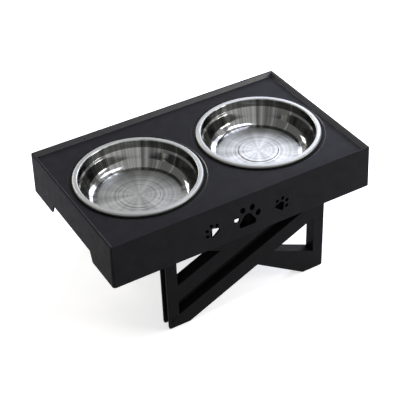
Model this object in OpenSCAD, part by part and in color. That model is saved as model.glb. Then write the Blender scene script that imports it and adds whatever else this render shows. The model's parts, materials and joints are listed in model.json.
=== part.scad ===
// Raised feeding stand for a dog: a moulded tray that carries two steel bowls
// and stands on two cross-braced leg panels, which push up into guide rails
// behind the long skirts. X runs along the tray, the front is -Y, the floor is z = 0.

/* [Stand] */
// Height of the tray's lip above the floor
stand_h = 190; // [165:1:230]

/* [Bowls] */
// Outer diameter of a bowl's rolled rim
rim_d = 190; // [160:1:220]
// Width of the rolled rim, seen from above
rim_w = 8.5; // [7:0.5:11]
// Height of the rolled rim
rim_h = 6; // [5:0.25:8]
// Depth of a bowl inside, from the rim's top to its floor
bowl_depth = 38; // [34:1:46]
// Height of the upright band of wall below the rim
band_h = 13; // [10:0.5:16]
// How far the wall steps in below that band
step_w = 3; // [2:0.25:4]
// Lean of the wall below the step, from the upright
wall_lean = 22; // [12:1:28]
// Radius between a bowl's wall and its floor
floor_r = 15; // [10:0.5:18]
// Diameter of the raised disc stamped in a bowl's floor
disc_d = 60; // [40:1:80]
// Height of the raised disc
disc_h = 1; // [0.5:0.25:2]
// Thickness of the steel
steel_t = 0.8; // [0.6:0.1:1.2]

/* [Tray] */
// Free deck between the two rims
bowl_gap = 16; // [14:1:30]
// From a rim to the foot of the skirt at the tray's short ends
end_margin = 17; // [15:0.5:30]
// From a rim to the foot of the skirt at the tray's long sides
side_margin = 37.5; // [35:0.5:50]
// Height of the skirt, from its foot to the top of the lip
skirt_h = 69; // [62:1:80]
// How far each side leans in from the foot of the skirt to the lip
skirt_draft = 2; // [1:0.1:3]
// Thickness of the skirt and of the lip
wall = 3; // [2.5:0.1:4]
// Radius of the tray's upright corners, at the lip
corner_r = 2; // [1.5:0.1:4]
// Bevel along the lip's outer edge
lip_bevel = 0.6; // [0.3:0.1:1]
// Height of the lip above the deck
lip_h = 6.5; // [5:0.25:9]
// How far the lip's inner face leans in, down to the deck
lip_lean = 3.5; // [2:0.25:4]
// Thickness of the deck
deck_t = 3; // [2.5:0.1:4]
// Ring of deck left free around a rim, inside the seat
seat_gap = 4.2; // [2:0.1:5]
// Depth of the round seat below the deck
seat_depth = 1.6; // [1:0.1:2.5]
// Gap between a bowl's wall and the hole that it hangs in
throat_gap = 1.2; // [0.8:0.1:1.6]
// Rounding of the deck's edge around a seat
seat_round = 1.2; // [0.6:0.1:1.5]
// Height of the collar below each bowl hole
collar_h = 9; // [5:0.5:12]
// Thickness of the collars and of the ribs below the deck
rib_t = 2.4; // [2:0.1:3]

/* [Hand notches] */
// Length of the notch along its top edge
notch_l = 121; // [90:1:140]
// Height of the notch in the foot of each short skirt
notch_h = 16.5; // [12:0.5:22]
// How far each end of the notch slants out, down to the skirt's foot
notch_slant = 6.5; // [2:0.5:12]

/* [Paw cut-outs] */
// Width across the outer toes of the large paw
paw_w = 44; // [36:1:50]
// Width across the outer toes of a small paw
small_paw_w = 26; // [20:1:30]
// From the middle of the large paw to the middle of a small one
paw_pitch = 57; // [50:1:70]
// Tilt of the small paws, outwards
paw_tilt = 40; // [0:1:50]
// Height of the paws' middle above the skirt's foot
paw_z = 30; // [28:0.5:34]

/* [Leg panels] */
// From the tray's end to a leg panel's outer edge
leg_inset = 81; // [70:1:100]
// Thickness of a leg panel
leg_t = 19; // [17:0.5:24]
// From the foot of the skirt back to a panel's outer face
leg_recess = 2; // [0.5:0.25:2.5]
// Width of a panel's upright posts
post_w = 17.5; // [15:0.5:22]
// Length of each foot along the floor
foot_w = 35; // [28:0.5:42]
// Width of each of the two parallel braces
bar_w = 26.5; // [22:0.5:30]
// Width of the channel between the braces
slot_w = 23.6; // [16:0.2:26]
// Width of the lower arm where it leaves the braces
arm_w = 24; // [20:0.5:28]
// Width of the upper arm
upper_arm_w = 12; // [9:0.5:14]
// Width of the rail along a panel's upper end
rail_w = 24.5; // [20:0.5:28]
// From a panel's middle to its window's edge at the side of the head plate
window_x = 55.5; // [50:0.5:62]
// From a panel's middle to its window's other upright edge
window_end = 2; // [-8:0.5:8]
// Wall left around the hollows in a panel's inner side
leg_wall = 3; // [2.5:0.1:3.5]
// Thickness of a panel's outer face and of the plates beside a groove
leg_skin = 3.5; // [3:0.1:4]
// Depth of the guide groove in a post's outer edge
groove_d = 9; // [7:0.5:10]
// Diameter of the round hole above one foot
peg_hole_d = 4; // [3:0.25:5]
// From the foot's lower end to that hole's middle
peg_hole_end = 13.5; // [11:0.5:18]
// From the post's outer edge to that hole's middle
peg_hole_side = 6.5; // [4:0.25:7]
// Rounding of a panel's outer corners
leg_corner_r = 3; // [1:0.5:5]

/* [Guides] */
// Gap between a leg panel and the skirt's inner face, at its closest
leg_gap = 0.5; // [0.4:0.1:1.5]
// Clearance around a guide tongue in its groove
guide_fit = 0.35; // [0.3:0.05:0.6]
// Height of the guides' lower ends above the skirt's foot
guide_rise = 6; // [4:0.5:12]
// Height of the stops that rest on the panels' upper ends
stop_h = 4; // [3:0.5:8]

/* [Foot pads] */
// Foot left free around a pad
pad_edge = 2.5; // [2:0.1:3.5]
// Thickness of a pad
pad_t = 2.6; // [2:0.1:3]
// How far a pad stands below its foot
pad_proud = 1.2; // [0.8:0.1:1.6]
// Clearance around a pad in its pocket
pad_fit = 0.2; // [0.1:0.05:0.3]

/* [Hidden] */
$fn = 96;

// Overlap of a cutter past the face that it opens
over = 1;
// Steps in a quarter turn of a drawn sheet's bend
bend_steps = 6;
// Radii where the rim turns down into the wall, at the step and at the stamped disc
brim_bend = 2;
step_bend = 1.6;
disc_bend = 1;
// Lean of the upright band, over its height
band_lean = 0.5;
// Straight stretch between the two bends of the rolled rim
roll_flat = 0.1;
// Width of the rolled rim's turned-in edge, short of the wall
roll_mouth = 2;
// Points around a toe and around a paw's pad
toe_points = 20;
pad_points = 36;
// Paw in parts of its width: places and half axes of the toes, then size and place of the pad
outer_toe = [0.4, 0.06];
inner_toe = [0.18, 0.35];
toe_half = [0.092, 0.12];
toe_splay = [14, 8];
paw_pad_r = 0.265;
paw_pad_lobe = 0.16;
paw_pad_stretch = 1.12;
paw_pad_base = 0.18;
paw_pad_drop = 0.14;
// Distance between the cross ribs in a leg panel's hollows
rib_pitch = 58;

tray_l = 2 * rim_d + bowl_gap + 2 * end_margin;
tray_w = rim_d + 2 * side_margin;
bowl_x = (rim_d + bowl_gap) / 2;
skirt_z = stand_h - skirt_h;
deck_z = stand_h - lip_h;
deck_under = deck_z - deck_t;
seat_z = deck_z - seat_depth;
seat_r = rim_d / 2 + seat_gap;
throat_r = rim_d / 2 - rim_w + steel_t + throat_gap;
rim_z = seat_z + rim_h;

leg_w = tray_l - 2 * leg_inset;
leg_h = deck_under - stop_h - pad_proud;
leg_mid_z = pad_proud + leg_h / 2;
// A panel's shoulder meets the skirt's foot, and above it the panel is set back to fit behind the skirt
leg_face_y = tray_w / 2 - leg_recess;
set_back = skirt_draft + wall + leg_gap - leg_recess;
head_t = leg_t - set_back;
shoulder_z = skirt_z - leg_mid_z;
half_w = leg_w / 2;
half_h = leg_h / 2;
inner_x = half_w - post_w;
band = bar_w + slot_w / 2;
// The braces' lower edge runs through the inner end of a foot
brace_reach = norm([half_h, half_w - foot_w]);
brace_angle = acos(band / brace_reach) - atan2(half_w - foot_w, half_h);
brace_rise = tan(brace_angle);
apex_x = (band - arm_w) / (2 * sin(brace_angle));
pad_l = foot_w - groove_d - 2 * pad_edge;
pad_w = leg_t - 2 * pad_edge;

// Height of a line along the braces, and of one along the arms, each offset square to its own run
function brace_z(x, offset) = brace_rise * x + offset / cos(brace_angle);
function arm_z(x, offset) = -brace_rise * x + offset / cos(brace_angle);

// Points of a rounded path: each inner corner is turned through an arc of its own radius
function bend(a, b, c, r) =
  let(u = (a - b) / norm(a - b), v = (c - b) / norm(c - b),
      half = acos(u * v) / 2,
      mid = b + (u + v) / norm(u + v) * r / sin(half),
      start = b + u * r / tan(half) - mid,
      turn = (180 - 2 * half) * sign(u[0] * v[1] - u[1] * v[0]),
      steps = max(2, ceil(abs(turn) / 90 * bend_steps)))
  [for (i = [0:steps]) mid + rotated(start, -turn * i / steps)];
function rotated(p, angle) =
  [p[0] * cos(angle) - p[1] * sin(angle), p[0] * sin(angle) + p[1] * cos(angle)];
function rounded_path(points, radii) =
  [points[0],
   for (i = [1:len(points) - 2]) each bend(points[i - 1], points[i], points[i + 1], radii[i]),
   points[len(points) - 1]];

// One side of a sheet that follows a path, half its thickness away
function sheet_side(path, offset) =
  [for (i = [0:len(path) - 1])
     let(a = path[max(i - 1, 0)], b = path[min(i + 1, len(path) - 1)], d = (b - a) / norm(b - a),
         c = path[i], e = norm(c - a) > 0 && norm(b - c) > 0 ? (c - a) / norm(c - a) * d : 1)
     c + [-d[1], d[0]] * offset / max(e, 0.5)];

// Box that leans in towards its top on all four sides, with round upright corners
module drafted_box(l, w, h, draft, r) {
  flat_l = l - 2 * draft - 2 * r;
  flat_w = w - 2 * draft - 2 * r;
  rotate([90, 0, 0])
    linear_extrude(flat_w, center = true)
      polygon([[-l / 2, 0], [l / 2, 0], [l / 2 - draft, h], [draft - l / 2, h]]);
  rotate([90, 0, 90])
    linear_extrude(flat_l, center = true)
      polygon([[-w / 2, 0], [w / 2, 0], [w / 2 - draft, h], [draft - w / 2, h]]);
  for (x = [-1, 1], y = [-1, 1])
    translate([x * flat_l / 2, y * flat_w / 2, 0])
      cylinder(h = h, r1 = r + draft, r2 = r);
}

// Outside of the tray, with its lip bevelled
module tray_outside() {
  translate([0, 0, skirt_z])
    drafted_box(tray_l, tray_w, skirt_h - lip_bevel, skirt_draft, corner_r + lip_bevel);
  translate([0, 0, stand_h - lip_bevel])
    drafted_box(tray_l - 2 * skirt_draft, tray_w - 2 * skirt_draft, lip_bevel, lip_bevel, corner_r);
}

// Hollow under the deck, one wall inside the skirt
module tray_hollow() {
  lean = skirt_draft / skirt_h;
  hollow_h = deck_under - skirt_z + over;
  translate([0, 0, skirt_z - over])
    drafted_box(tray_l - 2 * wall + 2 * lean * over, tray_w - 2 * wall + 2 * lean * over,
                hollow_h, lean * hollow_h, corner_r);
}

// Sunken deck inside the lip, which leans in on all four sides
module deck_sink() {
  inset = skirt_draft + wall;
  intersection() {
    rotate([90, 0, 0])
      linear_extrude(tray_w, center = true)
        sink_section(tray_l / 2 - inset);
    rotate([90, 0, 90])
      linear_extrude(tray_l, center = true)
        sink_section(tray_w / 2 - inset);
  }
}

// Section of the sunken deck, with the given half width at the lip's top
module sink_section(half) {
  flare = lip_lean * over / lip_h;
  polygon([[lip_lean - half, deck_z], [half - lip_lean, deck_z],
           [half + flare, stand_h + over], [-half - flare, stand_h + over]]);
}

// Thicker ring under a seat and the collar that hangs from it
module seat_ring() {
  translate([0, 0, deck_under - seat_depth])
    cylinder(h = deck_t + seat_depth - over, r = seat_r + rib_t);
  translate([0, 0, deck_under - collar_h])
    cylinder(h = collar_h + deck_t - over, r = throat_r + rib_t);
}

// Round seat with a rounded edge, and the hole that the bowl hangs in
module seat_cut() {
  translate([0, 0, deck_under - collar_h - over])
    cylinder(h = collar_h + deck_t + lip_h, r = throat_r);
  translate([0, 0, seat_z])
    cylinder(h = lip_h, r = seat_r);
  translate([0, 0, deck_z])
    rotate_extrude()
      difference() {
        translate([seat_r - over, -seat_round])
          square([seat_round + over, seat_round + over]);
        translate([seat_r + seat_round, -seat_round])
          circle(r = seat_round);
        translate([seat_r - over, -seat_round - over])
          square([over, over]);
      }
}

// Trapezoid notch across both short skirts
module hand_notch() {
  half = notch_l / 2;
  foot = half + notch_slant * (1 + over / notch_h);
  rotate([90, 0, 90])
    linear_extrude(tray_l + 2 * over, center = true)
      polygon([[-foot, skirt_z - over], [foot, skirt_z - over],
               [half, skirt_z + notch_h], [-half, skirt_z + notch_h]]);
}

// Paw print: four toes over a three-lobed pad with a flat base
module paw_shape(width) {
  for (side = [-1, 1]) {
    toe([side * outer_toe[0], outer_toe[1]] * width, toe_half * width, -side * toe_splay[0]);
    toe([side * inner_toe[0], inner_toe[1]] * width, toe_half * width, -side * toe_splay[1]);
  }
  polygon([for (i = [0:pad_points - 1])
             let(a = 360 * i / pad_points, r = paw_pad_r * (1 + paw_pad_lobe * cos(3 * (a - 90))))
             [paw_pad_stretch * r * cos(a), max(r * sin(a), -paw_pad_base) - paw_pad_drop] * width]);
}

// Ellipse with the given centre, half axes and tilt
module toe(at, half, tilt) {
  polygon([for (i = [0:toe_points - 1])
             let(a = 360 * i / toe_points)
             at + rotated([half[0] * cos(a), half[1] * sin(a)], tilt)]);
}

// The three paws, cut through the front skirt
module paw_cuts() {
  translate([0, -tray_w / 2 + skirt_draft + wall + over, skirt_z + paw_z])
    rotate([90, 0, 0])
      linear_extrude(skirt_draft + wall + 2 * over) {
        paw_shape(paw_w);
        for (side = [-1, 1])
          translate([side * paw_pitch, 0])
            rotate(-side * paw_tilt)
              paw_shape(small_paw_w);
      }
}

// Guide for one post: a web from skirt to hollow, a tongue in the post's groove and a stop above
module guide(side) {
  guide_z = skirt_z + guide_rise;
  guide_h = deck_under - guide_z + over;
  web_x = half_w + leg_gap;
  tongue_x = half_w - groove_d + guide_fit;
  web_y = leg_face_y - leg_t;
  tongue_y = web_y + leg_skin + guide_fit;
  tongue_w = head_t - 2 * leg_skin - 2 * guide_fit;
  mirror([side < 0 ? 1 : 0, 0, 0]) {
    translate([web_x, web_y, guide_z])
      cube([rib_t, head_t + leg_gap + skirt_draft + wall / 3, guide_h]);
    translate([tongue_x, tongue_y, guide_z])
      cube([web_x + rib_t - tongue_x, tongue_w, guide_h]);
    translate([inner_x, web_y, deck_under - stop_h])
      cube([web_x + rib_t - inner_x, head_t, stop_h + over]);
  }
}

// Rib below the deck between the two collars, from one leg panel to the other
module middle_rib() {
  rib_l = 2 * (leg_face_y - leg_t - leg_gap);
  translate([-rib_t / 2, -rib_l / 2, deck_under - collar_h])
    cube([rib_t, rib_l, collar_h + over]);
}

// Four guides: two at the front, two at the rear
module guides() {
  for (side = [-1, 1]) {
    guide(side);
    mirror([0, 1, 0])
      guide(side);
  }
}

module tray() {
  color("#2a2a30")
    difference() {
      union() {
        difference() {
          tray_outside();
          tray_hollow();
          deck_sink();
        }
        for (side = [-1, 1])
          translate([side * bowl_x, 0, 0])
            seat_ring();
        intersection() {
          tray_outside();
          union() {
            guides();
            middle_rib();
          }
        }
      }
      for (side = [-1, 1])
        translate([side * bowl_x, 0, 0])
          seat_cut();
      hand_notch();
      paw_cuts();
    }
}

// Bowl of one drawn sheet, hung by its rolled rim, with its rim's top at z = 0
module bowl() {
  half = steel_t / 2;
  outer = rim_d / 2 - half;
  inner = rim_d / 2 - rim_w + half;
  roll_r = (rim_h - steel_t - roll_flat) / 2;
  floor_z = -bowl_depth - half;
  step_z = -half - band_h;
  step_r = inner - step_w;
  foot_r = step_r + (floor_z - step_z + step_w) * tan(wall_lean);
  path = rounded_path(
    [[inner + roll_mouth, half - rim_h], [outer, half - rim_h], [outer, -half], [inner, -half],
     [inner - band_lean, step_z], [step_r, step_z - step_w], [foot_r, floor_z],
     [disc_d / 2 + disc_h, floor_z], [disc_d / 2, floor_z + disc_h], [0, floor_z + disc_h]],
    [0, roll_r, roll_r, brim_bend, step_bend, step_bend, floor_r, disc_bend, disc_bend, 0]);
  outside = sheet_side(path, -half);
  rotate_extrude()
    polygon(concat(sheet_side(path, half), [for (i = [len(path) - 1:-1:0]) outside[i]]));
}

module bowl_left() {
  color("silver")
    translate([-bowl_x, 0, rim_z])
      bowl();
}

module bowl_right() {
  color("silver")
    translate([bowl_x, 0, rim_z])
      bowl();
}

// Members of a leg panel as outlines, corners running anticlockwise. The left post is the right one
// turned half round, and the upper brace is the lower one turned half round.
right_post = [[inner_x, -half_h], [half_w, -half_h], [half_w, half_h], [inner_x, half_h]];
lower_brace = [[-inner_x, brace_z(-inner_x, -band)], [inner_x, brace_z(inner_x, -band)],
               [inner_x, brace_z(inner_x, -slot_w / 2)], [-inner_x, brace_z(-inner_x, -slot_w / 2)]];

// Channel between the braces
channel = [[-inner_x, brace_z(-inner_x, -slot_w / 2)], [inner_x, brace_z(inner_x, -slot_w / 2)],
           [inner_x, brace_z(inner_x, slot_w / 2)], [-inner_x, brace_z(-inner_x, slot_w / 2)]];

// Arms from the braces to the posts, with a triangle left open between each arm, brace and post
hole_tip = band / (2 * sin(brace_angle));
lower_arm = [[hole_tip, arm_z(hole_tip, 0)], [apex_x, brace_z(apex_x, -band)],
             [half_w - foot_w, -half_h], [inner_x, -half_h], [inner_x, arm_z(inner_x, 0)]];
upper_arm_tip = (upper_arm_w - band) / (2 * sin(brace_angle));
upper_arm = [[-inner_x, arm_z(-inner_x, 0)], [-hole_tip, arm_z(-hole_tip, 0)],
             [upper_arm_tip, arm_z(upper_arm_tip, upper_arm_w)], [-inner_x, arm_z(-inner_x, upper_arm_w)]];

// Rail and plates at the head, with a window left open between them, the upper arm and the upper brace
window_z = half_h - rail_w;
rail_end = (window_z - band / cos(brace_angle)) / brace_rise;
upper_rail = [[-window_x, window_z], [rail_end, window_z], [half_w - foot_w, half_h], [-window_x, half_h]];
head_plate = [[-inner_x, arm_z(-inner_x, upper_arm_w)], [-window_x, arm_z(-window_x, upper_arm_w)],
              [-window_x, half_h], [-inner_x, half_h]];
corner_plate = [[window_end, brace_z(window_end, band)], [rail_end, window_z], [window_end, window_z]];

// Outline of a member, kept inside the panel's rectangle with its rounded corners
module member_outline(points) {
  intersection() {
    polygon(points);
    union() {
      square([leg_w, leg_h - 2 * leg_corner_r], center = true);
      square([leg_w - 2 * leg_corner_r, leg_h], center = true);
      for (x = [-1, 1], z = [-1, 1])
        translate([x * (half_w - leg_corner_r), z * (half_h - leg_corner_r)])
          circle(r = leg_corner_r);
    }
  }
}

// Convex outline with every side moved in by the same distance
function moved_in(points, d) =
  let(n = len(points))
  [for (i = [0:n - 1])
     let(a = points[(i + n - 1) % n], b = points[i], c = points[(i + 1) % n],
         u = (b - a) / norm(b - a), v = (c - b) / norm(c - b),
         s = u[0] * v[1] - u[1] * v[0], t = (1 - u * v) / s)
     b + [-u[1], u[0]] * d - u * d * t];

// Hollow in a member's inner side, one wall inside its outline, with cross ribs square to the braces
module hollow_outline(points) {
  difference() {
    intersection() {
      polygon(moved_in(points, leg_wall));
      square([leg_w, leg_h - 2 * leg_wall], center = true);
    }
    rotate(brace_angle)
      for (x = [-2 * rib_pitch:rib_pitch:2 * rib_pitch])
        translate([x - rib_t / 2, -leg_w / 2])
          square([rib_t, leg_w]);
  }
}

// Solid over an outline in the XZ plane, from the given depth inwards
module panel_solid(depth, t = leg_t) {
  rotate([90, 0, 0])
    translate([0, 0, -depth - t])
      linear_extrude(t)
        children();
}

// Space in front of the head, above the shoulder
module shoulder_cut() {
  translate([-half_w - over, -over, shoulder_z])
    cube([leg_w + 2 * over, set_back + over, leg_h]);
}

// Block of the given length behind the outer face, up to one wall below the shoulder
module below_shoulder(l) {
  translate([-l / 2, leg_skin, -half_h - over])
    cube([l, set_back + leg_skin, half_h + over + shoulder_z - leg_wall]);
}

// Block where a foot pad sits: lower face at the given height against the foot
module pad_place(side, l, w, h, z) {
  translate([side * (half_w - groove_d - pad_edge - pad_l / 2), leg_t / 2, -half_h + z + h / 2])
    cube([l, w, h], center = true);
}

// Pockets for the pads under both feet
module pad_pockets() {
  for (side = [-1, 1])
    pad_place(side, pad_l + 2 * pad_fit, pad_w + 2 * pad_fit, pad_t - pad_proud + over, -over);
}

// Brace, arm, rail or plate with the panel's middle at the origin and its outer face at y = 0, facing -Y
module member(points) {
  lowest = min([for (p = points) p[1]]);
  difference() {
    panel_solid(0)
      member_outline(points);
    shoulder_cut();
    panel_solid(set_back + leg_skin)
      hollow_outline(points);
    if (lowest < shoulder_z - 3 * leg_wall)
      intersection() {
        panel_solid(leg_skin)
          hollow_outline(points);
        below_shoulder(leg_w);
      }
    pad_pockets();
  }
}

// Post at one side, with the guide groove in its outer edge and a round hole above the left foot
module post(side) {
  difference() {
    panel_solid(0)
      member_outline(side * right_post);
    shoulder_cut();
    translate([side * half_w, set_back + head_t / 2, 0])
      cube([2 * groove_d, head_t - 2 * leg_skin, leg_h + 2 * over], center = true);
    translate([side * half_w, 0, 0])
      below_shoulder(2 * groove_d);
    pad_pockets();
    if (side < 0)
      translate([peg_hole_side - half_w, -over, peg_hole_end - half_h])
        rotate([-90, 0, 0])
          cylinder(h = leg_skin + 2 * over, d = peg_hole_d);
  }
}

// Web that closes the channel between the braces at the panel's inner side
module brace_web() {
  panel_solid(leg_t - leg_skin, leg_skin)
    member_outline(channel);
}

// Place of a front or rear panel; both are the same moulding, and the rear one is turned half round
module panel_at(rear) {
  rotate([0, 0, rear ? 180 : 0])
    translate([0, -leg_face_y, leg_mid_z])
      children();
}

module panel_part(rear) {
  color("#202022")
    panel_at(rear)
      children();
}

module front_left_post() {
  panel_part(false)
    post(-1);
}

module front_right_post() {
  panel_part(false)
    post(1);
}

module front_lower_brace() {
  panel_part(false)
    member(lower_brace);
}

module front_upper_brace() {
  panel_part(false)
    member(-lower_brace);
}

module front_brace_web() {
  panel_part(false)
    brace_web();
}

module front_lower_arm() {
  panel_part(false)
    member(lower_arm);
}

module front_upper_arm() {
  panel_part(false)
    member(upper_arm);
}

module front_upper_rail() {
  panel_part(false)
    member(upper_rail);
}

module front_head_plate() {
  panel_part(false)
    member(head_plate);
}

module front_corner_plate() {
  panel_part(false)
    member(corner_plate);
}

module rear_left_post() {
  panel_part(true)
    post(1);
}

module rear_right_post() {
  panel_part(true)
    post(-1);
}

module rear_lower_brace() {
  panel_part(true)
    member(lower_brace);
}

module rear_upper_brace() {
  panel_part(true)
    member(-lower_brace);
}

module rear_brace_web() {
  panel_part(true)
    brace_web();
}

module rear_lower_arm() {
  panel_part(true)
    member(lower_arm);
}

module rear_upper_arm() {
  panel_part(true)
    member(upper_arm);
}

module rear_upper_rail() {
  panel_part(true)
    member(upper_rail);
}

module rear_head_plate() {
  panel_part(true)
    member(head_plate);
}

module rear_corner_plate() {
  panel_part(true)
    member(corner_plate);
}

module foot_pad(rear, side) {
  color("#151515")
    panel_at(rear)
      pad_place(side, pad_l, pad_w, pad_t, -pad_proud);
}

module front_left_pad() {
  foot_pad(false, -1);
}

module front_right_pad() {
  foot_pad(false, 1);
}

module rear_left_pad() {
  foot_pad(true, 1);
}

module rear_right_pad() {
  foot_pad(true, -1);
}

tray();
bowl_left();
bowl_right();
front_left_post();
front_right_post();
front_lower_brace();
front_upper_brace();
front_brace_web();
front_lower_arm();
front_upper_arm();
front_upper_rail();
front_head_plate();
front_corner_plate();
rear_left_post();
rear_right_post();
rear_lower_brace();
rear_upper_brace();
rear_brace_web();
rear_lower_arm();
rear_upper_arm();
rear_upper_rail();
rear_head_plate();
rear_corner_plate();
front_left_pad();
front_right_pad();
rear_left_pad();
rear_right_pad();
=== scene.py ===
import json
import math

import bmesh
import bpy
import numpy as np
from mathutils import Matrix, Vector

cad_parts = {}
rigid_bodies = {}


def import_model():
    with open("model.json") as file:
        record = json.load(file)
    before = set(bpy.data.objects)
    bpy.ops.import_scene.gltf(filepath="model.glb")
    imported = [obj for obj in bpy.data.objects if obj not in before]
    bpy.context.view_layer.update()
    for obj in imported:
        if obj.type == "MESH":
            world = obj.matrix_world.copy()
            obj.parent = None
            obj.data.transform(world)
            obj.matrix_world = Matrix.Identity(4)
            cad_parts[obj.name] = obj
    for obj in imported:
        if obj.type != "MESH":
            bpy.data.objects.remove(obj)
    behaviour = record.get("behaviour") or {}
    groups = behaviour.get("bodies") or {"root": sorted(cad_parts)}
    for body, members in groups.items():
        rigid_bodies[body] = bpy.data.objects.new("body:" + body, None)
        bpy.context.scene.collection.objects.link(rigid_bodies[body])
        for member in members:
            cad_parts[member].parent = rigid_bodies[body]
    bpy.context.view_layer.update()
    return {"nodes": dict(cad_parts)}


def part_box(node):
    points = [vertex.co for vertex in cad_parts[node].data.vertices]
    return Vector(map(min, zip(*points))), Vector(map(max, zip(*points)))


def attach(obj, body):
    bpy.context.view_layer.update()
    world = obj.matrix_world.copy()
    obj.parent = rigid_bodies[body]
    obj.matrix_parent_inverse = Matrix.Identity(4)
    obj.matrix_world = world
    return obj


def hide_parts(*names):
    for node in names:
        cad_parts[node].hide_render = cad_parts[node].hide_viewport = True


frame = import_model()
nodes = frame["nodes"]

MM = 0.001


def box_mm(node):
    """Lowest and highest corner of a solid, in millimetres to a hundredth."""
    return np.round(np.array(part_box(node)) / MM, 2)


# Tray, in millimetres: foot of the skirt, top of the lip and the lip's height above the deck
TRAY_LOW, TRAY_HIGH = box_mm("tray")
SKIRT_Z, TRAY_TOP = TRAY_LOW[2], TRAY_HIGH[2]
LIP_H = 6.5
DECK_Z = TRAY_TOP - LIP_H

# Bowls, in millimetres: the rolled rim, the upright band and the step below it, the leaning wall with its
# lean in degrees, the stamped disc in the floor, the sheet's thickness and the radii of its bends
BOWL_LOW, BOWL_HIGH = box_mm("bowl_right")
RIM_D, BOWL_X = BOWL_HIGH[0] - BOWL_LOW[0], (BOWL_HIGH[0] + BOWL_LOW[0]) / 2
RIM_W, RIM_H, ROLL_FLAT, ROLL_MOUTH = 8.5, 6.0, 0.1, 2.0
BOWL_DEPTH, BAND_H, BAND_LEAN, STEP_W = 38.0, 13.0, 0.5, 3.0
WALL_LEAN, FLOOR_R = 22.0, 15.0
DISC_D, DISC_H = 60.0, 1.0
STEEL_T = 0.8
BRIM_BEND, STEP_BEND, DISC_BEND = 2.0, 1.6, 1.0

# Steps round a turned shape and in a quarter turn of its profile, and its longest step, in millimetres
AROUND, BEND_STEPS, LONGEST = 192, 14, 3.0

# Seats, in millimetres: the ring of deck around a rim, its depth and the rounding of its edge
SEAT_GAP, SEAT_DEPTH, SEAT_ROUND = 4.2, 1.6, 2.7
SEAT_R = RIM_D / 2 + SEAT_GAP
RIM_Z = DECK_Z - SEAT_DEPTH + RIM_H

# Turned shape that rounds a seat's edge: where its arc ends, in degrees from upright, then, in millimetres,
# how far the arc starts above the deck and ends within the seat's wall, and the shape's height over the deck
ARC_END, ARC_OVER, ARC_INSIDE, ROUNDER_H = 25.0, 0.02, 0.05, 5.0

# Distances in metres within which points are one, in a solid and in a moulding, and the shortest edge
SOLID_MERGE, MOULDING_MERGE, SHORTEST = 2e-6, 5e-5, 1e-5

# Angles under which two faces count as one flat face, and over which the edge between them counts as sharp,
# then the most sides of a face that is left whole and of a hole that is closed
FLAT, SHARP = math.radians(0.3), math.radians(32)
MOST_SIDES = 4

# Rounding of sharp edges, in millimetres, its steps, and how much the larger faces count in the shading
EDGE_ROUND, EDGE_STEPS, LARGE_FACES = 0.5, 2, 90

# Members of a leg panel, and how far each is swelled in metres before they are united
LEG_MEMBERS = ("left_post", "right_post", "lower_brace", "upper_brace", "brace_web",
               "lower_arm", "upper_arm", "upper_rail", "head_plate", "corner_plate")
SWELL = 2e-5

# Web that closes the notch between the front panel's upper brace and upper arm, in millimetres: the notch's
# lowest corner, the panel's outer face, the web's thickness and overlap, and the rise of its sides
NOTCH_X, NOTCH_Z = -31.5, 116.7
PANEL_Y = box_mm("front_lower_brace")[0][1]
WEB_T, WEB_OVER, WEB_RISE = 5.0, 1.0, 0.4627

# Rubbed inner side of the lip: its least height above the deck, in millimetres, the upward share of its
# normals with the range of that share, and the most that they point away from the tray's middle
LIP_ABOVE, LIP_UPWARD, LIP_RANGE, LIP_AWAY = 0.5, 0.5, 0.3, 1e-3

# Rubbed edges of the seats: how far they reach inside the seat and stay off its floor and the deck, in
# millimetres, the range of the upward share of their normals, and the way they face, from the front right
EDGE_INSIDE, EDGE_TRIM = 0.1, 0.01
EDGE_STEEP, EDGE_LEVEL = 0.2, 0.999
EDGE_FACING = (-0.6, 0.8)

# Place of the cut-outs in the front skirt, in millimetres, and the most that their walls face the front
CUT_HALF_W, CUT_LOW, CUT_HIGH, CUT_Y = 120.0, 130.0, 180.0, -128.0
CUT_FACING = 0.3

# Darkest and lightest tones of the plastics and the rubber. The deep tone is painted shade, near black, on
# the walls of the skirt's cut-outs and on the leg faces behind the skirt
TRAY_TONES = (0.0165, 0.0165, 0.0175), (0.0205, 0.0205, 0.0217)
LEG_TONES = (0.0085, 0.0085, 0.009), (0.011, 0.011, 0.0115)
PAINTED_SHADE_TONES = (0.002, 0.002, 0.002), (0.003, 0.003, 0.003)
PAD_TONES = (0.010, 0.010, 0.010), (0.018, 0.018, 0.017)

# Roughness and specular level of each plastic
TRAY_GLOSS, RUBBED_GLOSS, LEG_GLOSS, PAINTED_SHADE_GLOSS = (0.42, 0.012), (0.32, 0.40), (0.45, 0.025), (0.60, 0.004)

# Grain of the plastics: grains, waves and patches of tone and gloss in a metre, how far the roughness
# spreads, then strength and depth in metres of the grain and the waves
GRAINS, WAVES, TONE_PATCHES, GLOSS_PATCHES = 2600, 14, 55, 90
GLOSS_LESS, GLOSS_MORE = 0.05, 0.06
GRAIN_BUMP, WAVE_BUMP = (0.22, 0.0001), (0.08, 0.002)

# Grain of the rubber, given the same way, its least and most roughness and its specular level
PAD_GRAINS, PAD_PATCHES, PAD_BUMP = 1500, 120, (0.4, 0.0002)
PAD_ROUGH, PAD_SPECULAR = (0.72, 0.88), 0.3

# Satin finish of a bowl's floor: its share, its radius and its soft border, then the rim's soft border, in
# millimetres
FLOOR_SATIN, SATIN_R, SATIN_BORDER, RIM_BORDER = 0.75, 60.0, 4.0, 1.5

# Darkest and lightest tones of the steel, and the share of satin where the wall's tone ends. The walls are
# darker than the rim as painted reflection of dark surroundings, and the floor's light sectors are painted
# sheen
STEEL_WALL = (0.085, 0.086, 0.084), (0.410, 0.415, 0.400)
STEEL_FLOOR = (0.105, 0.107, 0.100), (0.330, 0.336, 0.315)
STEEL_RIM = (0.203, 0.207, 0.195), (0.25, 0.255, 0.241)
FLOOR_START = 0.1
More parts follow.
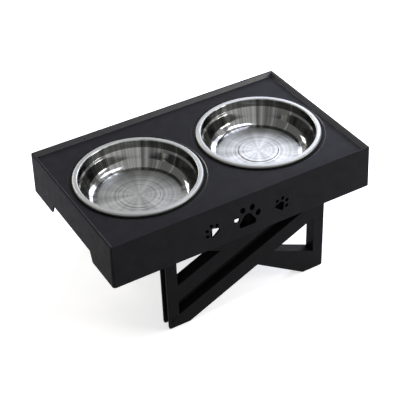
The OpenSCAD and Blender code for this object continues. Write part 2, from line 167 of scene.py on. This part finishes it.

# Marks in the steel: scratches in a metre of the profile and rings as a share of them, then streaks, broad
# streaks with their place and sectors round the bowl, clouds and dents in a metre, and the ranges of the
# streaks and of the floor's rings and sectors that show as tone. The streaks are painted reflection, the
# sectors painted sheen, and the rings turning marks and painted reflection at once
SCRATCHES, RINGS = 5200.0, 0.045
REFLECTION_STREAKS, BROAD_REFLECTION_STREAKS, BROAD_REFLECTION_PLACE, SHEEN_SECTORS = 7.0, 1.3, (7.1, 0.0, 0.0), 2.5
CLOUDS, DENTS = 22, 30
REFLECTION_STREAK_RANGE, FLOOR_RANGE = (0.98, 1.30), (0.7, 1.3)

# Roughness of the polished walls and the satin rim and what clouds add, then strength and depth in metres of
# scratches and dents
WALL_ROUGH, RIM_ROUGH, CLOUD_ROUGH = 0.08, 0.48, 0.05
SCRATCH_BUMP, DENT_BUMP = (0.10, 0.00005), (0.10, 0.003)

# Floor: half its width in metres, its tone, how much darker its clouds are, clouds in a metre, and its glow
FLOOR_REACH, PAPER, PAPER_SHADE, PAPER_CLOUDS, PAPER_GLOW = 12.0, 0.80, 0.01, 3, 0.66

# Light: strength of the surroundings, points that the lamps face, in metres, and the lamps' colours
SURROUNDINGS = 0.26
STAND_MIDDLE, RIGHT_BOWL_SIDE = (0, 0, 0.15), (0.10, 0, 0.15)
WARM, PALE_WARM, COOL = (1.0, 0.96, 0.92), (1.0, 0.98, 0.95), (0.80, 0.82, 1.0)

# Camera: turn, rise and roll in degrees, distance from the middle of the tray's top and the place of that
# middle in the picture, in metres, focal length and picture in pixels, sensor in millimetres and farthest
# view in metres
TURN, RISE, ROLL = -29.08, 37.587, -2.394
DISTANCE, SIDE, LIFT = 1.6270, -0.00087, 0.07336
FOCAL_PX, IMAGE_PX, SENSOR, FARTHEST = 1107.0, 400.0, 36.0, 50.0


def unit(v):
    """The vector divided by its own length."""
    return v / np.linalg.norm(v)


def bend(a, b, c, radius):
    """Points of the arc that turns the corner a-b-c: a circle of the radius touching both legs,
    swept evenly from one touching point to the other."""
    u, v = unit(a - b), unit(c - b)
    half = math.acos(float(u @ v)) / 2
    middle = b + unit(u + v) * radius / math.sin(half)
    start = b + u * radius / math.tan(half) - middle
    turn = -(math.pi - 2 * half) * np.sign(u[0] * v[1] - u[1] * v[0])
    steps = max(3, math.ceil(abs(turn) / (math.pi / 2) * BEND_STEPS))
    angle = turn * np.linspace(0, 1, steps + 1)
    cos, sin = np.cos(angle), np.sin(angle)
    return middle + np.stack([start[0] * cos - start[1] * sin, start[0] * sin + start[1] * cos], 1)


def filled(path, longest):
    """The same line with its long straight stretches cut into equal lengths, none above the longest."""
    length = np.linalg.norm(np.diff(path, axis=0), axis=1)
    parts = np.maximum(1, np.ceil(length / longest).astype(int))
    places = np.concatenate([i + np.arange(n) / n for i, n in enumerate(parts)] + [[len(length)]])
    index = np.arange(len(path))
    return np.stack([np.interp(places, index, path[:, 0]), np.interp(places, index, path[:, 1])], 1)


def bowl_line():
    """Middle line of the bowl's sheet as (radius, height) in millimetres, from the turned-in edge of the
    rolled rim over the rim, down the upright band, the step and the leaning wall to the floor's middle."""
    half = STEEL_T / 2
    outer, inner = RIM_D / 2 - half, RIM_D / 2 - RIM_W + half
    roll = (RIM_H - STEEL_T - ROLL_FLAT) / 2
    floor, step = -BOWL_DEPTH - half, -half - BAND_H
    step_r = inner - STEP_W
    foot = step_r + (floor - step + STEP_W) * math.tan(math.radians(WALL_LEAN))
    corners = np.array([
        (inner + ROLL_MOUTH, half - RIM_H), (outer, half - RIM_H), (outer, -half), (inner, -half),
        (inner - BAND_LEAN, step), (step_r, step - STEP_W), (foot, floor),
        (DISC_D / 2 + DISC_H, floor), (DISC_D / 2, floor + DISC_H), (0.0, floor + DISC_H)])
    radii = (roll, roll, BRIM_BEND, STEP_BEND, STEP_BEND, FLOOR_R, DISC_BEND, DISC_BEND)
    arcs = [bend(corners[i], corners[i + 1], corners[i + 2], r) for i, r in enumerate(radii)]
    return filled(np.concatenate([corners[:1], *arcs, corners[-1:]]), LONGEST)


def sheet_profile(line):
    """Outline of a sheet that follows a line: out from the axis along the line moved half the thickness to
    one side, then back to the axis along the line moved as far to the other side. The moves are square to
    the line, and upright on the axis."""
    along = np.gradient(line, axis=0)
    along /= np.linalg.norm(along, axis=1)[:, None]
    along[-1] = (-1.0, 0.0)
    across = np.stack([-along[:, 1], along[:, 0]], 1) * STEEL_T / 2
    return np.concatenate([(line - across)[::-1], line + across])


def turned(name, profile, centre):
    """Surface of revolution: the profile's (radius, height) points carried round an upright axis. The
    profile starts and ends on the axis, so each end closes in one point, and it runs out along its upper
    side and back along its lower one, so faces point outwards. The UV map holds the turn as a share of a
    full circle, and the length along the profile in metres."""
    p = profile * MM
    run = np.concatenate([[0], np.cumsum(np.linalg.norm(np.diff(p, axis=0), axis=1))])
    angle = 2 * math.pi * np.arange(AROUND) / AROUND
    rings = p[1:-1]
    x = centre[0] + rings[:, :1] * np.cos(angle)
    y = centre[1] + rings[:, :1] * np.sin(angle)
    z = centre[2] + rings[:, 1:] + 0 * angle
    body = np.stack([x, y, z], 2).reshape(-1, 3)
    ends = np.array([(centre[0], centre[1], centre[2] + end[1]) for end in (p[0], p[-1])])
    count = len(rings)
    i, j = np.meshgrid(np.arange(count - 1), np.arange(AROUND), indexing="ij")
    k = (j + 1) % AROUND
    quads = np.stack([i * AROUND + j, (i + 1) * AROUND + j, (i + 1) * AROUND + k, i * AROUND + k], 2)
    first, last = len(body), len(body) + 1
    a = np.arange(AROUND)
    b = (a + 1) % AROUND
    start = np.stack([np.full(AROUND, first), a, b], 1)
    finish = np.stack([(count - 1) * AROUND + b, (count - 1) * AROUND + a, np.full(AROUND, last)], 1)
    mesh = bpy.data.meshes.new(name)
    mesh.from_pydata(np.concatenate([body, ends]).tolist(), [],
                     quads.reshape(-1, 4).tolist() + start.tolist() + finish.tolist())
    u0, u1 = j / AROUND, (j + 1) / AROUND
    v0, v1 = run[i + 1], run[i + 2]
    quad_uv = np.stack([u0, v0, u0, v1, u1, v1, u1, v0], 2).reshape(-1, 2)
    ua, ub = a / AROUND, (a + 1) / AROUND
    start_uv = np.stack([ua, 0 * a + run[0], ua, 0 * a + run[1], ub, 0 * a + run[1]], 1).reshape(-1, 2)
    finish_uv = np.stack([ub, 0 * a + run[-2], ua, 0 * a + run[-2], ua, 0 * a + run[-1]], 1).reshape(-1, 2)
    layer = mesh.uv_layers.new(name="turning")
    layer.data.foreach_set("uv", np.concatenate([quad_uv, start_uv, finish_uv]).astype(np.float32).ravel())
    mesh.polygons.foreach_set("use_smooth", np.ones(len(mesh.polygons), bool))
    mesh.update()
    obj = bpy.data.objects.new(name, mesh)
    bpy.context.scene.collection.objects.link(obj)
    return obj


def steel_finish(obj, centre):
    """Two values at each point of a bowl. The share of satin finish is whole on the rolled rim, part on
    the floor and none on the polished walls, with soft borders. The share also picks the tones, among them
    the walls' painted reflection. The bearing points away from the axis."""
    co = np.empty(len(obj.data.vertices) * 3, np.float32)
    obj.data.vertices.foreach_get("co", co)
    co = co.reshape(-1, 3) / MM - np.array(centre) / MM
    radius = np.hypot(co[:, 0], co[:, 1])
    rim = np.clip((radius - (RIM_D / 2 - RIM_W)) / RIM_BORDER, 0, 1)
    floor = np.clip((SATIN_R + SATIN_BORDER - radius) / SATIN_BORDER, 0, 1)
    share = np.maximum(rim, FLOOR_SATIN * floor)
    satin = obj.data.attributes.new("satin", "FLOAT", "POINT")
    satin.data.foreach_set("value", share.astype(np.float32))
    away = co * (1, 1, 0) / np.maximum(radius, 1.0)[:, None]
    bearing = obj.data.attributes.new("bearing", "FLOAT_VECTOR", "POINT")
    bearing.data.foreach_set("vector", away.astype(np.float32).ravel())


def merged_copy(node, name):
    """Copy of a solid's mesh with its loose triangles merged."""
    mesh = nodes[node].data.copy()
    mesh.name = name
    shape = bmesh.new()
    shape.from_mesh(mesh)
    bmesh.ops.remove_doubles(shape, verts=shape.verts, dist=SOLID_MERGE)
    shape.to_mesh(mesh)
    shape.free()
    return mesh


def notch_web():
    """Web in the notch under the skirt: a triangle in the panel's plane, with its lowest corner under the
    notch's own and its upper side level with the skirt's foot, carried through the web's thickness."""
    low = NOTCH_Z - WEB_OVER
    half = (SKIRT_Z - low) / WEB_RISE
    x = NOTCH_X + half * np.array([0, 1, -1, 0, 1, -1])
    y = PANEL_Y + WEB_T * np.array([0, 0, 0, 1, 1, 1])
    z = np.array([low, SKIRT_Z, SKIRT_Z, low, SKIRT_Z, SKIRT_Z])
    mesh = bpy.data.meshes.new("notch_web")
    mesh.from_pydata((np.stack([x, y, z], 1) * MM).tolist(), [],
                     [(0, 1, 2), (5, 4, 3), (0, 3, 4, 1), (1, 4, 5, 2), (2, 5, 3, 0)])
    return mesh


def united(meshes, name):
    """One moulding out of the meshes of its members. Each is swelled by a fiftieth of a millimetre in the
    panel's plane, so that neighbours overlap, and they are united, so no wall stays inside."""
    group = bpy.data.collections.new(name)
    for mesh in meshes:
        place, way = np.empty((2, len(mesh.vertices) * 3), np.float32)
        mesh.vertices.foreach_get("co", place)
        mesh.vertex_normals.foreach_get("vector", way)
        way = way.reshape(-1, 3) * (1, 0, 1)
        way /= np.maximum(np.linalg.norm(way, axis=1, keepdims=True), 1e-6)
        mesh.vertices.foreach_set("co", (place + SWELL * way.ravel()).astype(np.float32))
        mesh.update()
        group.objects.link(bpy.data.objects.new(mesh.name, mesh))
    first = group.objects[0]
    group.objects.unlink(first)
    bpy.context.scene.collection.objects.link(first)
    union = first.modifiers.new("union", "BOOLEAN")
    union.operation, union.solver = "UNION", "EXACT"
    union.operand_type, union.collection = "COLLECTION", group
    whole = bpy.data.meshes.new_from_object(first.evaluated_get(bpy.context.evaluated_depsgraph_get()))
    whole.name = name
    for copy in (first, *group.objects):
        bpy.data.objects.remove(copy)
    bpy.data.collections.remove(group)
    return whole


def seat_rounder(side):
    """Turned shape that rounds the edge of a seat when it is taken away from the deck: a top above the
    deck, the arc that rounds the edge, from level at the deck to steep at the seat's wall, and a flat disc
    within the seat."""
    up = np.radians(np.linspace(90, ARC_END, BEND_STEPS))
    radius = SEAT_R + SEAT_ROUND * (math.cos(math.radians(ARC_END)) - np.cos(up)) - ARC_INSIDE
    height = DECK_Z + ARC_OVER - SEAT_ROUND * (1 - np.sin(up))
    top = np.array([(0.0, DECK_Z + ROUNDER_H), (radius[0], DECK_Z + ROUNDER_H)])
    line = np.concatenate([top, np.stack([radius, height], 1), [(0.0, height[-1])]])
    return turned("rounder", line, (side * BOWL_X * MM, 0.0, 0.0))


def rounded_seats(mesh):
    """The tray's mesh with the edges of both seats rounded."""
    obj = bpy.data.objects.new("deck", mesh)
    bpy.context.scene.collection.objects.link(obj)
    rounders = [seat_rounder(side) for side in (-1, 1)]
    for rounder in rounders:
        cut = obj.modifiers.new("seat", "BOOLEAN")
        cut.operation, cut.solver, cut.object = "DIFFERENCE", "EXACT", rounder
    whole = bpy.data.meshes.new_from_object(obj.evaluated_get(bpy.context.evaluated_depsgraph_get()))
    whole.name = mesh.name
    for extra in (obj, *rounders):
        bpy.data.objects.remove(extra)
    return whole


def faces_of(mesh):
    """Centres, in millimetres, and normals of a mesh's faces."""
    centre, way = np.empty((2, len(mesh.polygons) * 3), np.float32)
    mesh.polygons.foreach_get("center", centre)
    mesh.polygons.foreach_get("normal", way)
    return centre.reshape(-1, 3) / MM, way.reshape(-1, 3)


def rubbed(centre, way):
    """Whether hands and bowls rub a face of the tray: the lip's inner side, which leans inwards above the
    deck, and the rounded edge of a seat on its front right, between the seat's floor and the deck."""
    inwards = (way[:, :2] * centre[:, :2]).sum(1) <= LIP_AWAY
    leaning = np.abs(way[:, 2] - LIP_UPWARD) < LIP_RANGE
    lip = (centre[:, 2] > DECK_Z + LIP_ABOVE) & leaning & inwards
    from_seat = np.hypot(np.abs(centre[:, 0]) - BOWL_X, centre[:, 1]) - SEAT_R
    from_middle = np.abs(centre[:, 2] - DECK_Z + SEAT_DEPTH / 2)
    edge = (from_seat > -EDGE_INSIDE) & (from_seat < SEAT_ROUND) & (from_middle < SEAT_DEPTH / 2 - EDGE_TRIM)
    rounded = (way[:, 2] > EDGE_STEEP) & (way[:, 2] < EDGE_LEVEL)
    return lip | (edge & rounded & (way[:, :2] @ EDGE_FACING > 0.0))


def painted_shade_cut_walls(centre, way):
    """Whether a face of the tray is a wall of the cut-outs in the front skirt, where shade is painted."""
    place = (centre[:, 1] < CUT_Y) & (np.abs(centre[:, 0]) < CUT_HALF_W)
    height = (centre[:, 2] > CUT_LOW) & (centre[:, 2] < CUT_HIGH)
    return place & height & (np.abs(way[:, 1]) < CUT_FACING)


def in_seat_column(edge):
    """Whether an edge has an end in the column of a seat, anywhere above the skirt's foot."""
    reach = SEAT_R + 2 * SEAT_ROUND
    ends = [v.co / MM for v in edge.verts]
    return any(math.hypot(abs(p.x) - BOWL_X, p.y) < reach and p.z > SKIRT_Z for p in ends)


def plain_faces(mesh):
    """The mesh with its flat faces joined, what the joining opens closed again, and its sharp edges marked
    for rounding, apart from those of the seats, which have their own."""
    shape = bmesh.new()
    shape.from_mesh(mesh)
    bmesh.ops.remove_doubles(shape, verts=shape.verts, dist=MOULDING_MERGE)
    bmesh.ops.dissolve_degenerate(shape, edges=shape.edges, dist=SHORTEST)
    bmesh.ops.dissolve_limit(shape, angle_limit=FLAT, verts=shape.verts, edges=shape.edges)
    bmesh.ops.triangulate(shape, faces=[face for face in shape.faces if len(face.verts) > MOST_SIDES])
    bmesh.ops.delete(shape, geom=[edge for edge in shape.edges if edge.is_wire], context="EDGES")
    open_edges = [edge for edge in shape.edges if edge.is_boundary]
    bmesh.ops.holes_fill(shape, edges=open_edges, sides=MOST_SIDES)
    marked = shape.edges.layers.float.new("bevel_weight_edge")
    for edge in shape.edges:
        edge[marked] = float(edge.calc_face_angle(0.0) > SHARP and not in_seat_column(edge))
    shape.to_mesh(mesh)
    shape.free()
    return mesh


def softened(mesh, name):
    """Piece whose marked edges are rounded, as a mould leaves them, and whose shading follows the larger
    faces."""
    mesh.polygons.foreach_set("use_smooth", np.ones(len(mesh.polygons), bool))
    obj = bpy.data.objects.new(name, mesh)
    bpy.context.scene.collection.objects.link(obj)
    bevel = obj.modifiers.new("edges", "BEVEL")
    bevel.width = EDGE_ROUND * MM
    bevel.segments = EDGE_STEPS
    bevel.limit_method = "WEIGHT"
    bevel.use_clamp_overlap = False
    shading = obj.modifiers.new("shading", "WEIGHTED_NORMAL")
    shading.weight = LARGE_FACES
    return obj


class Finish:
    """Short way to lay out the nodes and links of a material."""

    def __init__(self, name):
        self.material = bpy.data.materials.new(name)
        self.material.use_nodes = True
        self.tree = self.material.node_tree
        self.tree.nodes.clear()
        self.out = self.add("ShaderNodeOutputMaterial")

    def add(self, kind, **settings):
        """New node of a kind, with its settings."""
        node = self.tree.nodes.new(kind)
        for key, value in settings.items():
            setattr(node, key, value)
        return node

    def link(self, source, target):
        """Link from a node's output to another's input."""
        self.tree.links.new(source, target)

    def noise(self, vector, scale, detail=3.0, roughness=0.55):
        """Noise of a scale over the places that the vector gives."""
        node = self.add("ShaderNodeTexNoise")
        node.inputs["Scale"].default_value = scale
        node.inputs["Detail"].default_value = detail
        node.inputs["Roughness"].default_value = roughness
        self.link(vector, node.inputs["Vector"])
        return node.outputs["Fac"]

    def ranged(self, value, low, high, start=0.3, end=0.7):
        """A value from start to end, stretched to run from low to high."""
        node = self.add("ShaderNodeMapRange")
        for key, number in (("From Min", start), ("From Max", end), ("To Min", low), ("To Max", high)):
            node.inputs[key].default_value = number
        self.link(value, node.inputs["Value"])
        return node.outputs["Result"]

    def mixed(self, factor, first, second):
        """Mix of two fixed tones."""
        node = self.add("ShaderNodeMix", data_type="RGBA")
        self.link(factor, node.inputs["Factor"])
        node.inputs["A"].default_value = (*first, 1)
        node.inputs["B"].default_value = (*second, 1)
        return node.outputs["Result"]

    def blended(self, factor, first, second):
        """Mix of two tones that other nodes give."""
        node = self.add("ShaderNodeMix", data_type="RGBA")
        for source, key in ((factor, "Factor"), (first, "A"), (second, "B")):
            self.link(source, node.inputs[key])
        return node.outputs["Result"]

    def total(self, first, second):
        """Sum of two values."""
        node = self.add("ShaderNodeMath", operation="ADD")
        self.link(first, node.inputs[0])
        self.link(second, node.inputs[1])
        return node.outputs["Value"]

    def bump(self, height, strength, depth, normal=None):
        """Normal tilted by a height, on top of another bump's normal where one is given."""
        node = self.add("ShaderNodeBump")
        node.inputs["Strength"].default_value = strength
        node.inputs["Distance"].default_value = depth
        self.link(height, node.inputs["Height"])
        if normal is not None:
            self.link(normal, node.inputs["Normal"])
        return node.outputs["Normal"]


def moulded_plastic(name, tones, rough, specular):
    """Black moulded plastic: a fine pebble grain and a slow waviness as bump, with a little change of
    tone and gloss from place to place."""
    look = Finish(name)
    place = look.add("ShaderNodeTexCoord").outputs["Object"]
    grain = look.noise(place, GRAINS, detail=2)
    wave = look.noise(place, WAVES, detail=2)
    tone = look.noise(place, TONE_PATCHES, detail=4)
    gloss = look.noise(place, GLOSS_PATCHES, detail=5)
    shader = look.add("ShaderNodeBsdfPrincipled")
    look.link(look.mixed(look.ranged(tone, 0, 1), *tones), shader.inputs["Base Color"])
    look.link(look.ranged(gloss, rough - GLOSS_LESS, rough + GLOSS_MORE), shader.inputs["Roughness"])
    shader.inputs["Specular IOR Level"].default_value = specular
    look.link(look.bump(grain, *GRAIN_BUMP, look.bump(wave, *WAVE_BUMP)), shader.inputs["Normal"])
    look.link(shader.outputs["BSDF"], look.out.inputs["Surface"])
    return look.material


def turned_steel(name):
    """Stainless steel: fine scratches that run round the bowl and a satin tone on the rim. The polished
    walls' darker tone with upright streaks is painted reflection. The floor's tone holds painted sheen in
    sectors, and rings that are turning marks and painted reflection at once."""
    look = Finish(name)
    turn = look.add("ShaderNodeMapping")
    turn.inputs["Scale"].default_value = (0.0, SCRATCHES, 1.0)
    look.link(look.add("ShaderNodeUVMap", uv_map="turning").outputs["UV"], turn.inputs["Vector"])
    scratch = look.noise(turn.outputs["Vector"], 1.0, detail=3, roughness=0.6)
    rings = look.noise(turn.outputs["Vector"], RINGS, detail=4, roughness=0.6)
    place = look.add("ShaderNodeTexCoord").outputs["Object"]
    bearing = look.add("ShaderNodeAttribute", attribute_name="bearing").outputs["Vector"]
    broad = look.add("ShaderNodeMapping")
    broad.inputs["Location"].default_value = BROAD_REFLECTION_PLACE
    look.link(bearing, broad.inputs["Vector"])
    # Upright streaks on the walls: painted reflection of bright and dark surroundings
    reflection_streak = look.total(look.noise(bearing, REFLECTION_STREAKS, detail=4, roughness=0.6),
                        look.noise(broad.outputs["Vector"], BROAD_REFLECTION_STREAKS, detail=1))
    # Sectors round the floor: painted sheen
    sheen_sector = look.noise(bearing, SHEEN_SECTORS, detail=2)
    cloud = look.noise(place, CLOUDS, detail=3)
    dent = look.noise(place, DENTS, detail=1)
    satin = look.add("ShaderNodeAttribute", attribute_name="satin").outputs["Fac"]
    # Walls darker than the rim: painted reflection of dark surroundings; floor rings are turning marks and
    # painted reflection at once
    wall = look.mixed(look.ranged(reflection_streak, 0, 1, *REFLECTION_STREAK_RANGE), *STEEL_WALL)
    floor = look.mixed(look.ranged(look.total(rings, sheen_sector), 0, 1, *FLOOR_RANGE), *STEEL_FLOOR)
    rim = look.mixed(look.ranged(scratch, 0, 1), *STEEL_RIM)
    inside = look.blended(look.ranged(satin, 0, 1, FLOOR_START, FLOOR_SATIN), wall, floor)
    tone = look.blended(look.ranged(satin, 0, 1, FLOOR_SATIN, 1), inside, rim)
    rough = look.total(look.ranged(satin, WALL_ROUGH, RIM_ROUGH, 0, 1), look.ranged(cloud, 0.0, CLOUD_ROUGH))
    shader = look.add("ShaderNodeBsdfPrincipled")
    shader.inputs["Metallic"].default_value = 1.0
    look.link(tone, shader.inputs["Base Color"])
    look.link(rough, shader.inputs["Roughness"])
    look.link(look.bump(scratch, *SCRATCH_BUMP, look.bump(dent, *DENT_BUMP)), shader.inputs["Normal"])
    look.link(shader.outputs["BSDF"], look.out.inputs["Surface"])
    return look.material


def pad_rubber(name):
    """Black rubber of the foot pads: matt, with a coarse sanded grain."""
    look = Finish(name)
    place = look.add("ShaderNodeTexCoord").outputs["Object"]
    grain = look.noise(place, PAD_GRAINS, detail=4)
    tone = look.noise(place, PAD_PATCHES, detail=4)
    shader = look.add("ShaderNodeBsdfPrincipled")
    look.link(look.mixed(look.ranged(tone, 0, 1), *PAD_TONES), shader.inputs["Base Color"])
    look.link(look.ranged(grain, *PAD_ROUGH), shader.inputs["Roughness"])
    shader.inputs["Specular IOR Level"].default_value = PAD_SPECULAR
    look.link(look.bump(grain, *PAD_BUMP), shader.inputs["Normal"])
    look.link(shader.outputs["BSDF"], look.out.inputs["Surface"])
    return look.material


def shown_ray(tree):
    """One where a ray comes from the camera, a mirror-like surface or a see-through one, else nothing."""
    path = tree.nodes.new("ShaderNodeLightPath")
    total = path.outputs["Is Camera Ray"]
    for name in ("Is Glossy Ray", "Is Transmission Ray"):
        step = tree.nodes.new("ShaderNodeMath")
        step.operation = "MAXIMUM"
        tree.links.new(total, step.inputs[0])
        tree.links.new(path.outputs[name], step.inputs[1])
        total = step.outputs["Value"]
    return total


def floor_white(name):
    """Pale studio floor: plain paper that takes the object's shadow, lifted to white where it is seen."""
    look = Finish(name)
    place = look.add("ShaderNodeTexCoord").outputs["Object"]
    cloud = look.ranged(look.noise(place, PAPER_CLOUDS, detail=2), 0, 1)
    paper = look.add("ShaderNodeBsdfDiffuse")
    look.link(look.mixed(cloud, (PAPER,) * 3, (PAPER - PAPER_SHADE,) * 3), paper.inputs["Color"])
    glow = look.add("ShaderNodeMath", operation="MULTIPLY")
    look.link(shown_ray(look.tree), glow.inputs[0])
    glow.inputs[1].default_value = PAPER_GLOW
    lift = look.add("ShaderNodeEmission")
    look.link(glow.outputs["Value"], lift.inputs["Strength"])
    both = look.add("ShaderNodeAddShader")
    look.link(paper.outputs["BSDF"], both.inputs[0])
    look.link(lift.outputs["Emission"], both.inputs[1])
    look.link(both.outputs["Shader"], look.out.inputs["Surface"])
    return look.material


def studio_world(strength):
    """Even white surroundings: white where they are seen, dimmer as light on the object."""
    world = bpy.data.worlds.new("studio")
    bpy.context.scene.world = world
    world.use_nodes = True
    tree = world.node_tree
    tree.nodes.clear()
    out = tree.nodes.new("ShaderNodeOutputWorld")
    ground = tree.nodes.new("ShaderNodeBackground")
    ground.inputs["Color"].default_value = (1, 1, 1, 1)
    level = tree.nodes.new("ShaderNodeMapRange")
    level.inputs["To Min"].default_value = strength
    level.inputs["To Max"].default_value = 1.0
    tree.links.new(shown_ray(tree), level.inputs["Value"])
    tree.links.new(level.outputs["Result"], ground.inputs["Strength"])
    tree.links.new(ground.outputs["Background"], out.inputs["Surface"])


def soft_lamp(name, place, aim, size, power, colour):
    """Square soft lamp at a place, turned to face the point it lights. Lengths in metres, power in watts."""
    lamp = bpy.data.lights.new(name, "AREA")
    lamp.shape = "SQUARE"
    lamp.size = size
    lamp.energy = power
    lamp.color = colour
    obj = bpy.data.objects.new(name, lamp)
    bpy.context.scene.collection.objects.link(obj)
    obj.location = place
    obj.rotation_euler = (Vector(aim) - Vector(place)).to_track_quat("-Z", "Y").to_euler()


def photo_camera():
    """Camera with the photograph's angle, roll and focal length, its axis through the picture's middle."""
    turn, rise, roll = math.radians(TURN), math.radians(RISE), math.radians(ROLL)
    back = np.array([math.sin(turn) * math.cos(rise), -math.cos(turn) * math.cos(rise), math.sin(rise)])
    level = unit(np.cross([0, 0, 1.0], back))
    upright = np.cross(back, level)
    right = math.cos(roll) * level + math.sin(roll) * upright
    top = math.cos(roll) * upright - math.sin(roll) * level
    eye = np.array([0, 0, TRAY_TOP * MM]) + DISTANCE * back - SIDE * right - LIFT * top
    data = bpy.data.cameras.new("camera")
    data.sensor_fit = "HORIZONTAL"
    data.sensor_width = SENSOR
    data.lens = SENSOR * FOCAL_PX / IMAGE_PX
    data.clip_end = FARTHEST
    obj = bpy.data.objects.new("camera", data)
    bpy.context.scene.collection.objects.link(obj)
    axes = Matrix([[right[i], top[i], back[i]] for i in range(3)])
    obj.matrix_world = Matrix.Translation(Vector(eye)) @ axes.to_4x4()
    bpy.context.scene.camera = obj


def dress(obj, *materials, choice=None):
    """The object takes these materials, each face the one that its choice names by number."""
    obj.data.materials.clear()
    for material in materials:
        obj.data.materials.append(material)
    if choice is not None:
        obj.data.polygons.foreach_set("material_index", choice.astype(np.int32))


# Materials
tray_plastic = moulded_plastic("tray_plastic", TRAY_TONES, *TRAY_GLOSS)
rubbed_plastic = moulded_plastic("rubbed_plastic", TRAY_TONES, *RUBBED_GLOSS)
leg_plastic = moulded_plastic("leg_plastic", LEG_TONES, *LEG_GLOSS)
# Near-black plastic that paints shade on the cut-out walls and on the leg faces behind the skirt
painted_shade_plastic = moulded_plastic("painted_shade_plastic", PAINTED_SHADE_TONES, *PAINTED_SHADE_GLOSS)
steel = turned_steel("steel")
rubber = pad_rubber("pad_rubber")

# Tray, rubbed on its lip and seats, with painted shade, near black, on the walls of its cut-outs
tray = softened(plain_faces(rounded_seats(merged_copy("tray", "tray_moulding"))), "tray_moulding")
centre, way = faces_of(tray.data)
# The walls of the cut-outs take the painted shade
finish = np.select([rubbed(centre, way), painted_shade_cut_walls(centre, way)], [1, 2], 0)
dress(tray, tray_plastic, rubbed_plastic, painted_shade_plastic, choice=finish)
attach(tray, "tray")
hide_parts("tray")

# Leg panels, each one moulding: the rear one is the front one turned half round
copies = [merged_copy("front_" + member, member + "_copy") for member in LEG_MEMBERS]
front_mesh = plain_faces(united([*copies, notch_web()], "front_leg_moulding"))
rear_mesh = front_mesh.copy()
rear_mesh.transform(Matrix.Diagonal((-1, -1, 1, 1)))
for side, mesh in (("front", front_mesh), ("rear", rear_mesh)):
    panel = softened(mesh, side + "_leg_moulding")
    # Faces above the skirt's foot, hidden behind the skirt, take painted shade
    behind_skirt = faces_of(panel.data)[0][:, 2] > SKIRT_Z
    dress(panel, leg_plastic, painted_shade_plastic, choice=behind_skirt)
    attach(panel, side + "_leg")
    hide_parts(*(f"{side}_{member}" for member in LEG_MEMBERS))

# Bowls
profile = sheet_profile(bowl_line())
for side, body in ((-1, "bowl_left"), (1, "bowl_right")):
    middle = (side * BOWL_X * MM, 0.0, RIM_Z * MM)
    bowl = turned(body + "_sheet", profile, middle)
    steel_finish(bowl, middle)
    dress(bowl, steel)
    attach(bowl, body)
    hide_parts(body)

# Foot pads
for place in ("front_left_pad", "front_right_pad", "rear_left_pad", "rear_right_pad"):
    pad = softened(plain_faces(merged_copy(place, place + "_rubber")), place + "_rubber")
    dress(pad, rubber)
    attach(pad, place.split("_")[0] + "_leg")
    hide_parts(place)

# Floor, light and camera
floor_mesh = bpy.data.meshes.new("floor")
floor_corners = [(x * FLOOR_REACH, y * FLOOR_REACH, 0) for x, y in ((-1, -1), (1, -1), (1, 1), (-1, 1))]
floor_mesh.from_pydata(floor_corners, [], [(0, 1, 2, 3)])
floor = bpy.data.objects.new("floor", floor_mesh)
bpy.context.scene.collection.objects.link(floor)
dress(floor, floor_white("floor_white"))

studio_world(SURROUNDINGS)
soft_lamp("key", (-0.30, 1.4, 0.86), STAND_MIDDLE, size=0.5, power=12, colour=WARM)
soft_lamp("back", (1.1, 0.80, 0.90), RIGHT_BOWL_SIDE, size=0.9, power=24, colour=COOL)
soft_lamp("top", (0.6, -0.1, 1.5), RIGHT_BOWL_SIDE, size=0.6, power=12, colour=COOL)
soft_lamp("front", (1.15, -1.0, 0.58), RIGHT_BOWL_SIDE, size=0.6, power=11, colour=PALE_WARM)
photo_camera()
bpy.context.scene.view_settings.view_transform = "Standard"
